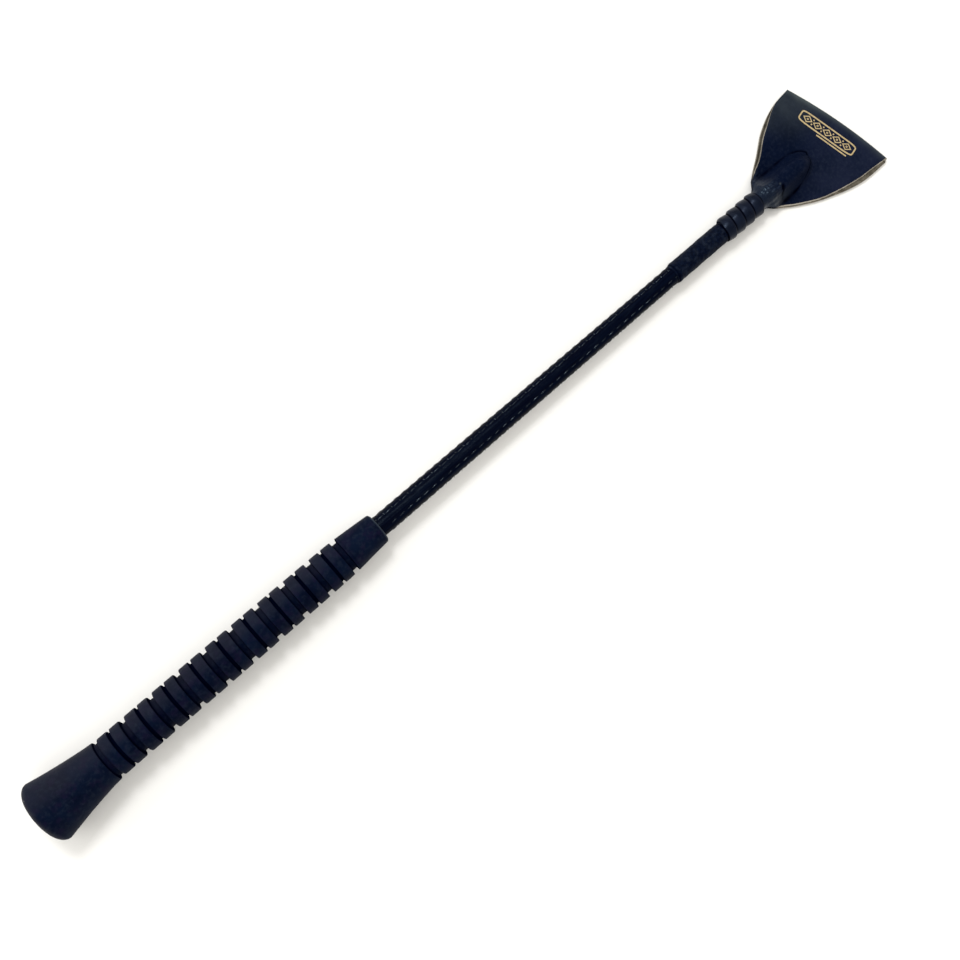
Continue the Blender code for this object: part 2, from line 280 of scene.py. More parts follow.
def turned(profile, segments):
    """Points and faces of (x, radius) pairs spun round the X axis."""
    profile = np.asarray(profile, float)
    angle = np.arange(segments) * 2.0 * math.pi / segments
    x = np.repeat(profile[:, :1], segments, axis=1)
    radius = profile[:, 1:2]
    points = np.stack([x, radius * np.sin(angle), radius * np.cos(angle)], axis=-1)
    return points.reshape(-1, 3), ring_faces(len(profile), segments, False)


def rounded(corners, steps=4):
    """A polyline whose corners, given as (x, radius, fillet), are cut round."""
    points = []
    for i, (x, r, fillet) in enumerate(corners):
        here = np.array((x, r))
        if not fillet or i in (0, len(corners) - 1):
            points.append(here)
            continue
        before = np.array(corners[i - 1][:2]) - here
        after = np.array(corners[i + 1][:2]) - here
        reach = min(fillet, 0.48 * np.linalg.norm(before), 0.48 * np.linalg.norm(after))
        start = here + before / np.linalg.norm(before) * reach
        end = here + after / np.linalg.norm(after) * reach
        for k in range(steps + 1):
            t = k / steps
            points.append((1 - t) ** 2 * start + 2 * t * (1 - t) * here + t * t * end)
    return points


# ---------------------------------------------------------------- materials


WHITE = (1.0, 1.0, 1.0)
BLUE_SHEEN = (0.60, 0.82, 1.0)
LACE_SHEEN = (0.55, 0.70, 1.0)
# Painted shade: the dark put into the pressed lines and along the edges of the lace and the whipping.
PAINTED_SHADE_BLACK = (0.0002, 0.0004, 0.0030)


class Look:
    """A Principled material and short ways to add its nodes."""

    def __init__(self, name, roughness=0.5, specular=0.5, tint=WHITE, **settings):
        self.material = bpy.data.materials.new(name)
        self.material.use_nodes = True
        self.tree = self.material.node_tree
        self.shader = self.tree.nodes["Principled BSDF"]
        self.shader.inputs["Roughness"].default_value = roughness
        self.shader.inputs["Specular IOR Level"].default_value = specular
        self.shader.inputs["Specular Tint"].default_value = (*tint, 1.0)
        for key, value in settings.items():
            self.shader.inputs[key.replace("_", " ")].default_value = value

    def node(self, kind, inputs=None, **settings):
        made = self.tree.nodes.new(kind)
        for key, value in settings.items():
            setattr(made, key, value)
        for key, value in (inputs or {}).items():
            if isinstance(value, bpy.types.NodeSocket):
                self.tree.links.new(value, made.inputs[key])
            else:
                made.inputs[key].default_value = value
        return made

    def coords(self):
        """Places on the piece at rest, in metres: X is the station, and Y points to the shorter side."""
        return self.node("ShaderNodeAttribute", attribute_name="rest").outputs["Vector"]

    def object_coords(self):
        return self.node("ShaderNodeTexCoord").outputs["Object"]

    def stored(self, name):
        """A number that store() kept for each point."""
        return self.node("ShaderNodeAttribute", attribute_name=name).outputs["Fac"]

    def stretched(self, vector, scale):
        return self.node("ShaderNodeMapping", {"Vector": vector, "Scale": scale}).outputs["Vector"]

    def noise(self, vector, scale, detail=3.0, roughness=0.55):
        inputs = {"Vector": vector, "Scale": scale, "Detail": detail, "Roughness": roughness}
        return self.node("ShaderNodeTexNoise", inputs).outputs["Fac"]

    def streaks(self, vector, scales, detail=3.0, roughness=0.55):
        """Noise with its own scale along each axis."""
        return self.noise(self.stretched(vector, scales), 1.0, detail, roughness)

    def cells(self, vector, scale):
        return self.node("ShaderNodeTexVoronoi", {"Vector": vector, "Scale": scale}).outputs["Distance"]

    def math(self, operation, a, b):
        return self.node("ShaderNodeMath", {0: a, 1: b}, operation=operation).outputs[0]

    def times(self, a, b):
        return self.math("MULTIPLY", a, b)

    def band(self, value, low, high, out_low=0.0, out_high=1.0):
        """Maps low..high to out_low..out_high with soft ends."""
        inputs = {"Value": value, "From Min": low, "From Max": high, "To Min": out_low, "To Max": out_high}
        return self.node("ShaderNodeMapRange", inputs, interpolation_type="SMOOTHSTEP").outputs["Result"]

    def mix(self, factor, a, b):
        """The colour a where factor is 0 and b where it is 1."""

        def colour(value):
            return value if isinstance(value, bpy.types.NodeSocket) else (*value, 1.0)

        # The Mix node has one set of sockets for each data type, and 6, 7 and 2 are the colour ones.
        inputs = {0: factor, 6: colour(a), 7: colour(b)}
        return self.node("ShaderNodeMix", inputs, data_type="RGBA").outputs[2]

    def split(self, vector, axis):
        return self.node("ShaderNodeSeparateXYZ", {"Vector": vector}).outputs[axis]

    def bump(self, height, strength, distance, normal=None):
        inputs = {"Height": height, "Strength": strength, "Distance": distance}
        if normal:
            inputs["Normal"] = normal
        return self.node("ShaderNodeBump", inputs).outputs["Normal"]

    def wire(self, name, socket):
        self.tree.links.new(socket, self.shader.inputs[name])


def rubber_look():
    """Matte moulded rubber, a little dusty, with lint on the butt, painted light on the side facing the
    window, painted shade low in the grooves and a painted highlight round the collar's front edge.
    """
    look = Look("moulded_rubber", tint=BLUE_SHEEN, Sheen_Roughness=0.4)
    place = look.coords()
    blotch = look.noise(place, 70.0, 4.0, 0.65)
    fine = look.noise(place, 480.0, 3.0, 0.65)
    tint = look.noise(place, 210.0, 3.0, 0.6)
    deep = look.mix(look.band(blotch, 0.3, 0.72), (0.0001, 0.0009, 0.0076), (0.0012, 0.0040, 0.0150))
    hued = look.mix(look.times(look.band(tint, 0.46, 0.66), 0.7), deep, (0.0046, 0.0034, 0.0160))
    dusty = look.mix(look.times(look.band(fine, 0.46, 0.70), 0.42), hued, (0.0090, 0.0135, 0.0250))
    along = look.split(place, "X")
    near_butt = look.band(along, 0.014, 0.002)
    dot = look.band(look.cells(place, 260.0), 0.085, 0.05)
    chosen = look.band(look.noise(place, 130.0, 1.0), 0.56, 0.60)
    lint = look.times(look.times(dot, chosen), near_butt)
    # Painted light: the rubber turned towards the window is mixed towards a paler grey-blue.
    window_lit = look.mix(look.times(look.stored("window_light_paint"), 0.36), dusty, (0.018, 0.0185, 0.027))
    # Painted shade low in the grooves: a darker blue, with the specular and sheen taken away there too.
    sunk = look.stored("sunk")
    shaded = look.mix(sunk, window_lit, (0.0003, 0.0010, 0.0060))
    # Painted highlight: a thin pale ring round the collar's front edge.
    rim_highlight = look.times(look.band(along, 0.1969, 0.1975), 0.6)
    rim_highlighted = look.mix(rim_highlight, shaded, (0.030, 0.044, 0.062))
    look.wire("Base Color", look.mix(lint, rim_highlighted, (0.42, 0.42, 0.40)))
    look.wire("Roughness", look.band(blotch, 0.25, 0.75, 0.52, 0.70))
    look.wire("Specular IOR Level", look.band(sunk, 0.0, 0.8, 0.035, 0.0))
    look.wire("Sheen Weight", look.band(sunk, 0.0, 0.5, 0.03, 0.0))
    pores = look.bump(look.noise(place, 2600.0, 2.0), 0.25, 0.00012)
    look.wire("Normal", look.bump(look.noise(place, 240.0, 3.0), 0.16, 0.0006, pores))
    return look.material


def braid_look():
    """Glossy waxed filaments that run along the shaft."""
    look = Look("braided_filament", roughness=0.17, specular=0.024, tint=BLUE_SHEEN)
    place = look.coords()
    strand = look.streaks(place, (30.0, 1500.0, 1500.0), 3.0, 0.65)
    patch = look.streaks(place, (150.0, 500.0, 500.0))
    tone = look.mix(look.band(strand, 0.38, 0.66), (0.0001, 0.0003, 0.0042), (0.0009, 0.0022, 0.0086))
    rubbed = look.times(look.band(patch, 0.5, 0.75), 0.5)
    look.wire("Base Color", look.mix(rubbed, tone, (0.0030, 0.0052, 0.0115)))
    look.wire("Roughness", look.band(patch, 0.25, 0.75, 0.13, 0.24))
    look.wire("Normal", look.bump(strand, 0.5, 0.00030))
    return look.material


def stitch_look():
    """The thin bright-edged thread that ties the filaments down."""
    look = Look("stitch_thread", roughness=0.22, tint=BLUE_SHEEN)
    place = look.coords()
    ply = look.streaks(place, (900.0, 2800.0, 2800.0), 2.0)
    worn = look.streaks(place, (190.0, 300.0, 300.0), 2.0)
    twisted = look.band(ply, 0.35, 0.7)
    look.wire("Base Color", look.mix(twisted, (0.0010, 0.0020, 0.0065), (0.0060, 0.0080, 0.0150)))
    look.wire("Specular IOR Level", look.band(worn, 0.38, 0.62, 0.15, 0.52))
    look.wire("Normal", look.bump(ply, 0.4, 0.00010))
    return look.material


def thread_look():
    """Black waxed thread, with painted shade along the whipping's rear edge. It also goes on a CAD piece, so
    it reads the object's own places.
    """
    look = Look("waxed_thread", tint=BLUE_SHEEN)
    place = look.object_coords()
    fibre = look.streaks(place, (1400.0, 900.0, 900.0), 3.0, 0.7)
    patch = look.noise(place, 420.0, 3.0, 0.6)
    tone = look.mix(look.band(fibre, 0.38, 0.66), (0.0001, 0.0006, 0.0050), (0.0018, 0.0042, 0.0150))
    worn = look.mix(look.times(look.band(patch, 0.45, 0.70), 0.6), tone, (0.0115, 0.0160, 0.0275))
    # Painted shade: a dark line along the whipping's rear edge, without specular.
    painted_edge_shade = look.stored("painted_edge_shade")
    look.wire("Base Color", look.mix(painted_edge_shade, worn, PAINTED_SHADE_BLACK))
    look.wire("Specular IOR Level", look.band(painted_edge_shade, 0.0, 0.7, 0.030, 0.0))
    look.wire("Roughness", look.band(patch, 0.3, 0.7, 0.34, 0.56))
    look.wire("Normal", look.bump(fibre, 0.5, 0.00025))
    return look.material


def lace_look():
    """Polished leather lace, dull and dark with painted shade along both edges of each turn."""
    look = Look("polished_lace", tint=LACE_SHEEN)
    place = look.coords()
    grain = look.cells(place, 1500.0)
    patch = look.noise(place, 190.0, 4.0, 0.6)
    tone = look.mix(look.band(patch, 0.3, 0.7), (0.0003, 0.0012, 0.0058), (0.0020, 0.0038, 0.0120))
    # Painted shade along both edges of each turn and on the underside, without specular.
    painted_edge_shade = look.stored("painted_edge_shade")
    look.wire("Base Color", look.mix(painted_edge_shade, tone, PAINTED_SHADE_BLACK))
    look.wire("Roughness", look.band(patch, 0.25, 0.75, 0.24, 0.42))
    look.wire("Specular IOR Level", look.band(painted_edge_shade, 0.0, 1.0, 0.15, 0.0))
    creases = look.bump(look.noise(place, 420.0, 3.0), 0.4, 0.0004)
    look.wire("Normal", look.bump(grain, 0.15, 0.00012, creases))
    return look.material


def grain_look():
    """Dyed smooth hide: fine pebble, a worn face with a painted sheen near the folded edge, a painted sheen
    over the shorter side's corner, a painted highlight on one flank and painted shade in the pressed lines.
    """
    look = Look("hide_grain", tint=BLUE_SHEEN)
    place = look.coords()
    pebble = look.cells(place, 1250.0)
    pore = look.noise(place, 3200.0, 2.0)
    speckle = look.noise(place, 640.0, 3.0, 0.65)
    cloud = look.noise(place, 75.0, 5.0, 0.62)
    scuff = look.streaks(place, (120.0, 38.0, 60.0), 5.0, 0.7)
    clouded = look.band(cloud, 0.32, 0.7)
    along = look.split(place, "X")
    neck = look.mix(clouded, (0.0003, 0.0018, 0.0098), (0.0014, 0.0036, 0.0145))
    flap = look.mix(clouded, (0.0032, 0.0056, 0.0168), (0.0072, 0.0100, 0.0255))
    reach = look.math("ADD", along, look.times(look.split(place, "Y"), -1.1))
    tone = look.mix(look.band(reach, 0.470, 0.506), neck, flap)
    spots = look.times(look.band(speckle, 0.44, 0.68), look.band(reach, 0.470, 0.500, 0.26, 0.5))
    spotted = look.mix(spots, tone, (0.0110, 0.0155, 0.0300))
    # Painted shade in the pressed lines, which lose their specular too.
    pressed = look.stored("pressed")
    creased = look.mix(pressed, spotted, PAINTED_SHADE_BLACK)
    # Worn grain, painted sheen and a painted highlight: where the stored worn value is high the grain turns
    # pale grey-blue.
    rubbed = look.times(look.stored("worn"), look.band(scuff, 0.25, 0.75, 0.55, 1.0))
    look.wire("Base Color", look.mix(rubbed, creased, (0.050, 0.062, 0.067)))
    look.wire("Roughness", look.band(along, 0.451, 0.460, 0.24, 0.52))
    gloss = look.band(along, 0.451, 0.462, 0.20, 0.026)
    look.wire("Specular IOR Level", look.times(gloss, look.math("SUBTRACT", 1.0, pressed)))
    grain = look.bump(pebble, 0.28, 0.00016)
    look.wire("Normal", look.bump(pore, 0.12, 0.00008, grain))
    return look.material


def suede_look(name, light, dark):
    """The undyed flesh side or a raw cut edge, soiled on the shorter side and blackened at the neck."""
    look = Look(name, roughness=0.95, specular=0.15)
    place = look.coords()
    nap = look.noise(place, 1500.0, 4.0, 0.75)
    stain = look.noise(place, 210.0, 4.0, 0.6)
    tone = look.mix(look.band(stain, 0.3, 0.7), dark, light)
    fibres = look.mix(look.times(look.band(nap, 0.45, 0.75), 0.55), tone, [0.35 * c for c in dark])
    handled = look.times(look.band(look.split(place, "Y"), 0.0, 0.010), 0.6)
    soiled = look.mix(handled, fibres, [0.4 * c for c in dark])
    past_neck = look.band(look.split(place, "X"), 0.4525, 0.4585)
    look.wire("Base Color", look.mix(past_neck, (0.006, 0.008, 0.018), soiled))
    look.wire("Normal", look.bump(nap, 0.8, 0.0005))
    return look.material


def foil_look():
    """Hot-stamped gold foil, slightly rubbed."""
    look = Look("gold_foil", roughness=0.34, Metallic=1.0)
    rub = look.noise(look.coords(), 900.0, 4.0, 0.7)
    look.wire("Base Color", look.mix(look.band(rub, 0.42, 0.72), (0.70, 0.56, 0.32), (0.44, 0.34, 0.18)))
    look.wire("Normal", look.bump(rub, 0.3, 0.0001))
    return look.material


def core_look(name, light, dark, roughness):
    """Fibres drawn along the shaft, for the hidden pieces inside it."""
    look = Look(name, roughness=roughness)
    fibre = look.streaks(look.object_coords(), (20.0, 1500.0, 1500.0))
    look.wire("Base Color", look.mix(fibre, dark, light))
    look.wire("Normal", look.bump(fibre, 0.3, 0.0002))
    return look.material


def floor_look():
    look = Look("pale_floor", roughness=0.9, specular=0.1)
    mottle = look.noise(look.object_coords(), 9.0, 4.0)
    look.wire("Base Color", look.mix(mottle, (0.80, 0.80, 0.79), (0.83, 0.83, 0.82)))
    return look.material


# ---------------------------------------------------------------- grip


def groove_shift(x):
    """How much nearer to the butt the first grooves lie than an even spacing would put them."""
    return 0.55 * smooth(34.0, 46.0, x) * (1.0 - smooth(56.2, 61.0, x))


def rib_radius(x):
    along = max(0.0, (x - FIRST_GROOVE) / (GROOVE_PITCH * (GROOVE_COUNT - 1)))
    return 10.2 - 0.66 * along**3


def bell_points():
    """The butt's face, its round shoulder and the hollow flank down to the neck."""
    shoulder_steps, flank_steps = 24, 32
    points = [(0.0, 0.0), (0.0, BUTT_FACE_RADIUS)]
    for i in range(1, shoulder_steps + 1):
        angle = 0.5 * math.pi * i / shoulder_steps
        radius = lerp(BUTT_FACE_RADIUS, BELL_RADIUS, math.sin(angle))
        points.append((BELL_STATION * (1 - math.cos(angle)), radius))
    for i in range(1, flank_steps + 1):
        along = i / flank_steps
        radius = lerp(NECK_RADIUS, BELL_RADIUS, (1 - along) ** 1.3)
        points.append((lerp(BELL_STATION, NECK_STATION, along), radius))
    return points


def groove_corners():
    """Corners of the wide and narrow grooves in turn, as (x, radius, fillet). The first has no rear rib."""
    corners = []
    for index in range(GROOVE_COUNT):
        along = index / (GROOVE_COUNT - 1)
        last = index == GROOVE_COUNT - 1
        centre = FIRST_GROOVE + index * GROOVE_PITCH
        half = 1.5 if index else 1.25
        depth = lerp(2.2, 2.0, along) if index else 1.3
        floor = rib_radius(centre) - depth
        edge = lerp(0.75, 0.4, along)
        rear, front = centre - half, centre + half
        if index:
            corners.append((rear, rib_radius(rear), edge))
        corners.append((rear + 0.12, floor, 0.35))
        corners.append((front - 0.12, floor, 0.35))
        if last:
            corners.append((front, COLLAR_RADIUS, 0.35))
            return corners
        corners.append((front, rib_radius(front), edge))
        middle = centre + GROOVE_PITCH / 2
        mouth = lerp(0.90, 0.80, along)
        top = rib_radius(middle)
        corners.append((middle - mouth, top, 0.35))
        corners.append((middle - NARROW_HALF_WIDTH, top - NARROW_DEPTH, 0.12))
        corners.append((middle + NARROW_HALF_WIDTH, top - NARROW_DEPTH, 0.12))
        corners.append((middle + mouth, top, 0.35))


def grip_profile():
    """Half of the grip's section, from the butt's face round the outside and back along the blind bore."""
    points = bell_points()
    corners = [(*points.pop(), 0.3)] + groove_corners()
    bore = shaft_radius(GRIP_LENGTH) + BORE_CLEARANCE
    corners += [
        (197.0, 7.85, 0.45),
        (197.75, 7.1, 0.6),
        (GRIP_LENGTH, bore + 0.5, 0.2),
        (GRIP_LENGTH, bore, 0.12),
        (BORE_END, shaft_radius(BORE_END) + BORE_CLEARANCE, 0.0),
        (BORE_END, 0.0, 0.0),
    ]
    points += [tuple(p) for p in rounded(corners)]
    return [points[0]] + subdivided(points[1:-3], 0.9) + points[-3:]


def subdivided(points, longest):
    """The same polyline with no stretch longer than the limit."""
    made = [points[0]]
    for a, b in zip(points, points[1:]):
        count = max(1, math.ceil(math.dist(a, b) / longest))
        made += [tuple(lerp(np.array(a), np.array(b), (k + 1) / count)) for k in range(count)]
    return made


def groove_shade(x, radius):
    """How much painted shade darkens the rubber low in a groove: all of a narrow one, only the walls of a
    wide one.
    """
    x += groove_shift(x)
    if not NECK_STATION < x < GROOVES_END:
        return 0.0
    depth = rib_radius(x) - radius
    if x < FIRST_GROOVE:
        depth += 0.5
    along = (x - FIRST_GROOVE) / GROOVE_PITCH
    from_wide = (along - round(along)) * GROOVE_PITCH
    if abs(from_wide) > 3.0:
        return smooth(0.02, 0.3, depth)
    beside_wall = smooth(-0.9, -1.25, from_wide) + smooth(1.15, 1.4, from_wide)
    return smooth(0.05, 0.7, depth) * lerp(0.42, 1.0, beside_wall)


def make_grip(material):
    segments = 128
    points, faces = turned([(x - groove_shift(x), r) for x, r in grip_profile()], segments)
    smooth_within = 6.7  # the butt's face, the mouth and the bore have no lumps
    for p in points:
        radius = math.hypot(p[1], p[2])
        if p[0] < GRIP_LENGTH and radius >= smooth_within:
            lump = noise.noise(Vector(p) * 0.09) * 0.07 + noise.noise(Vector(p) * 0.45) * 0.025
            p[1:] *= 1.0 + (lump - 0.05) / radius
    made = mesh_object("rubber_grip_moulding", points, faces, material, 60.0)
    # For each point: painted shade low in the grooves, and painted light on the side facing the window.
    groove_shade_paint, window_light_paint = [], []
    for x, y, z in rest_points(made.data):
        groove_shade_paint.append(groove_shade(x, math.hypot(y, z)))
        # Painted light: how far the point turns towards the window, fading out before the collar.
        facing = math.cos(math.atan2(y, z) - WINDOW_LIT_SIDE)
        window_light_paint.append(smooth(0.60, 1.0, facing) * (1.0 - smooth(165.0, 185.0, x)))
    store(made.data, "sunk", groove_shade_paint)
    store(made.data, "window_light_paint", window_light_paint)
    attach(made, "root")
    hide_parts("rubber_grip")


# ---------------------------------------------------------------- braided cover


def braid_surface(x, angle):
    """Outside of the cover: panels of filament between the sunken, stitched rows."""
    panel = ((angle - FIRST_ROW) / ROW_SPACING + 0.5) % 1.0 - 0.5
    away = abs(panel) * ROW_SPACING
    sunk = ROW_DEPTH * (1.0 - smooth(ROW_HALF_WIDTH, ROW_HALF_WIDTH + 0.17, away))
    ripple = 0.016 * math.cos(angle * 84.0)
    return shaft_radius(x) + 0.13 - sunk + ripple


def make_braid(material):
    segments = 240
    angles = angles_round(segments)
    seen = list(np.arange(190.0, 396.0, 1.4))  # the rest lies in the grip or under the whipping
    xs = [SHAFT_START, 100.0, 188.0] + seen + [400.0, 440.0, SHAFT_END]
    rows = [round_ring(x, [braid_surface(x, a) for a in angles], angles) for x in xs]
    for x in (SHAFT_END, SHAFT_START):
        rows.append(round_ring(x, [shaft_radius(x) - BRAID_THICKNESS] * segments, angles))
    points = np.array(rows).reshape(-1, 3)
    faces = ring_faces(len(rows), segments, True)
    cover = mesh_object("braided_cover_filaments", points, faces, material, 50.0)
    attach(cover, "root")
    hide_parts("braided_cover")


def make_stitches(material):
    """Long floats along each row, slightly uneven, and on every second row a knot after each."""
    verts, faces = [], []
    start, end = BRAID_STITCHED
    for row in range(BRAID_ROWS):
        for k in range(int((end - start) / STITCH_PITCH)):
            centre = start + (k + 0.37 * row) * STITCH_PITCH
            uneven = math.sin(12.9898 * (row * 53 + k))
            half = 0.5 * (STITCH_LENGTH + 0.3 * math.sin(7.13 * (row * 31 + k)))
            around = FIRST_ROW + row * ROW_SPACING + 0.01 * uneven
            ends = (centre - half, centre + half)
            add_strand(verts, faces, ends, (around - 0.03, around + 0.03), 0.23, 0.15 + 0.03 * uneven)
            if row % 2 == 0:
                knot = centre + STITCH_PITCH / 2
                ends = (knot - KNOT_HALF_LENGTH, knot + KNOT_HALF_LENGTH)
                add_strand(verts, faces, ends, (around + 0.08, around + 0.02), 0.50, 0.40)
    stitched = mesh_object("braid_stitches", verts, faces, material, 60.0)
    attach(stitched, "root")


def add_strand(verts, faces, ends, turns, half_width, height):
    """A short float of thread that rises out of the cover and dives back in."""
    steps, sides = 7, 6
    first = len(verts)
    for i in range(steps):
        t = i / (steps - 1)
        swell = math.sin(math.pi * (0.06 + 0.88 * t)) ** 0.5
        x = lerp(*ends, t)
        base = shaft_radius(x) - 0.05
        for corner in angles_round(sides):
            radius = base + swell * (0.75 * (height + 0.12) + 0.16 * math.sin(corner))
            theta = lerp(*turns, t) + math.cos(corner) * half_width * swell / radius
            verts.append((x, radius * math.sin(theta), radius * math.cos(theta)))
    faces += ring_faces(steps, sides, False, first) + end_faces(steps, sides, first)


# ---------------------------------------------------------------- whipping and lace


def whipping_slant(angle):
    """How far forward the whipping's rear edge lies at an angle, because it runs slightly askew."""
    return 0.54 * math.cos(angle - 0.9)


def whipping_radius(x, angle):
    """Outside of the whipping: its rear lip, its windings and the lumps of what lies under it."""
    start, end = WHIPPING
    rear = start + whipping_slant(angle)
    radius = lerp(shaft_radius(x) + 0.36, WHIPPING_RADIUS, smooth(rear + 0.4, rear + 1.6, x))
    radius += 0.16 * bell(x - rear - 2.2, 0.8) - 0.10 * smooth(end - 1.5, end, x)
    turn = (x / WHIPPING_PITCH - angle / FULL_TURN) % 1.0
    radius += 0.12 * math.sqrt(max(0.0, 1.0 - (2.0 * turn - 1.0) ** 2)) - 0.03
    return radius + 0.16 * lumps(x * 0.5, math.sin(angle) * 2.4, math.cos(angle) * 2.4)


def make_whipping(material):
    start, end = WHIPPING
    segments = 96
    angles = angles_round(segments)
    xs = np.arange(start, end + 1e-6, WHIPPING_PITCH / 6)
    rows = [round_ring(x, [whipping_radius(x, a) for a in angles], angles) for x in xs]
    for x in (xs[-1], xs[0]):
        rows.append(round_ring(x, [shaft_radius(x) + 0.15] * segments, angles))
    points = np.array(rows).reshape(-1, 3)
    faces = ring_faces(len(rows), segments, True)
    made = mesh_object("keeper_whipping_thread", points, faces, material, 80.0)
    # Painted shade: a dark line along the whipping's slanting rear edge.
    edge = []
    for x, y, z in rest_points(made.data):
        edge.append(0.7 * bell(x - start - 0.8 - whipping_slant(math.atan2(y, z)), 0.4))
    store(made.data, "painted_edge_shade", edge)
    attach(made, "root")
    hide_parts("keeper_whipping")


def lace_radius(x):
    """Radius of the lace's underside, which lies on the leather tails."""
    return shaft_radius(x) + TAIL_GAP + TAIL_LEATHER + TAIL_GAP


def lace_height(across, crest):
    """The lace's section, 0 at both edges and 1 at its crest. Both places run from 0 to 1 across the lace."""
    reach = (across - crest) / ((1.0 - crest) if across > crest else crest)
    if abs(reach) >= 1.0:
        return 0.0
    return (1.0 - abs(reach) ** (1.2 if reach < 0 else 1.6)) ** 0.8


def lace_ring(turn, steps):
    """The lace's section a number of turns from its start: its outside, then its two lower corners."""
    angle = FULL_TURN * turn
    side = math.sin(angle)
    finish = LACE_START + LACE_TURNS * LACE_PITCH + LACE_WIDTH
    rear = LACE_START + max(0.0, turn) * LACE_PITCH
    front = min(LACE_START + turn * LACE_PITCH + LACE_WIDTH, finish)
    crest = min(0.86, max(0.20, 0.64 - 0.42 * side))
    ends = smooth(0.0, 0.10, min(turn, LACE_TURNS - turn) + LACE_TUCK)
    swell = 0.74 + 0.26 * abs(side) ** 3 + 0.06 * lumps(turn * 3.1, 0.3, 0.7)
    rise = LACE_BODY * swell * lerp(0.3, 1.0, ends)
    section = []
    for k in range(steps + 1):
        x = lerp(rear, front, k / steps)
        section.append((x, lace_radius(x) + 0.18 + rise * lace_height(k / steps, crest)))
    section += [(x, lace_radius(x)) for x in (front, rear)]
    return [(x, radius * math.sin(angle), radius * math.cos(angle)) for x, radius in section]


def make_lace(material):
    """A rolled leather lace, its ends tuck under the shaft and narrow to close the winding square."""
    steps, steps_per_turn = 18, 72
    count = round((LACE_TURNS + 2 * LACE_TUCK) * steps_per_turn)
    turns = [lerp(-LACE_TUCK, LACE_TURNS + LACE_TUCK, i / count) for i in range(count + 1)]
    rows = [lace_ring(turn, steps) for turn in turns]
    columns = len(rows[0])
    faces = ring_faces(len(rows), columns, False) + end_faces(len(rows), columns)
    mesh = facing_out("binding_lace_wound", np.array(rows).reshape(-1, 3), faces)
    # Painted shade along both edges of each turn, and all over the two corners underneath.
    edges = [smooth(0.10, 0.0, k / steps) + smooth(0.84, 0.96, k / steps) for k in range(steps + 1)]
    store(mesh, "painted_edge_shade", (edges + [1.0, 1.0]) * len(rows))
    made = placed("binding_lace_wound", mesh, (material,), AXIS, 50.0)
    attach(made, "root")
    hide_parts("binding_lace")


# ---------------------------------------------------------------- keeper


def side_offset(side, x):
    """Where one side of the keeper is at a station, on a smooth curve through that side's points."""
    x = min(side[-1][0], max(side[0][0], x))
    index = max(i for i in range(len(side) - 1) if side[i][0] <= x)
    (x0, y0), (x1, y1) = side[index], side[index + 1]

    def slope(i):
        before, after = side[max(0, i - 1)], side[min(len(side) - 1, i + 1)]
        return (after[1] - before[1]) / (after[0] - before[0])

    t = (x - x0) / (x1 - x0)
    span = x1 - x0
    begin = (1 + 2 * t) * (1 - t) ** 2 * y0 + t * (1 - t) ** 2 * span * slope(index)
    return begin + t * t * (3 - 2 * t) * y1 + t * t * (t - 1) * span * slope(index + 1)


def pocket_height(x, y):
    """Rise of the upper leaf over the shaft's tip: a round crown that runs out in hollow flanks."""
    along = max(0.0, (x - POCKET_ROUND_START) / (POCKET_END - POCKET_ROUND_START))
    if along >= 1.0:
        return 0.0
    across = abs(y) / (POCKET_BASE * math.sqrt(1.0 - along * along))
    if across >= 1.0:
        return 0.0
    crown = (shaft_radius(SHAFT_END) + POCKET_CLEARANCE) / POCKET_BASE
    crown_end = crown * math.sin(POCKET_CROWN)
    if across < crown_end:
        share = 0.5 + 0.5 * math.sqrt(1.0 - (across / crown) ** 2)
    else:
        flank = (1.0 - across) / (1.0 - crown_end)
        share = (0.5 + 0.5 * math.cos(POCKET_CROWN)) * flank**1.45
    slope_start = SHAFT_END + 1.0
    past_tip = max(0.0, (x - slope_start) / (POCKET_END - slope_start))
    rise = axis_height(x) + shaft_radius(x) + POCKET_CLEARANCE - LEATHER - LEAF_GAP
    return rise * (1.0 - past_tip**2) * share


def arch_line(x, y):
    """Strength of the pressed line round the pocket: a pointed arch, broken here and there."""
    length = ARCH_END - ARCH_START
    along = max(0.0, (x - ARCH_START) / length)
    beside = y - ARCH_DRIFT * smooth(ARCH_START + 4.0, 490.0, x)
    across = max(0.02, abs(beside) / ARCH_HALF_WIDTH)
    outside = along**2.8 + across**1.3 - 1.0
    slope = math.hypot(2.8 * along**1.8 / length, 1.3 * across**0.3 / ARCH_HALF_WIDTH)
    broken = 0.75 + 0.7 * lumps(x * 0.24, y * 0.24, 1.7)
    width = lerp(1.0, 0.36, smooth(463.0, 475.0, x))
    return max(0.0, min(1.0, broken)) * smooth(454.0, 460.0, x) * bell(outside / slope, width)


def pinch(x, y):
    """Strength of the slanting pinch beside the pocket's root, on the longer side."""
    aside = (x - 459.6) - 0.34 * (y + 4.4) + 0.5 * lumps(x, y * 0.9, 6.0)
    between = smooth(-8.8, -7.2, y) * smooth(-0.6, -2.2, y)
    return bell(aside, 0.8) * lerp(0.5, 1.0, smooth(-6.5, -4.0, y)) * between


def crease(x, y):
    """Depth of the lines pressed into the upper leaf."""
    return 0.5 * max(arch_line(x, y), pinch(x, y))


def inset(x, left):
    """How far the upper leaf stops short of the lower one at each side."""
    if left:
        return 1.5 * smooth(455.0, 466.0, x) * (1.0 - smooth(478.0, 491.0, x))
    ragged = 0.16 * lumps(x * 0.5, 4.0, 0.0) + 0.10 * lumps(x * 1.6, 9.0, 0.0)
    width = 0.55 + 1.65 * smooth(474.0, 500.0, x) - 0.9 * smooth(506.0, 517.0, x)
    return (width + ragged) * smooth(453.5, 459.5, x)


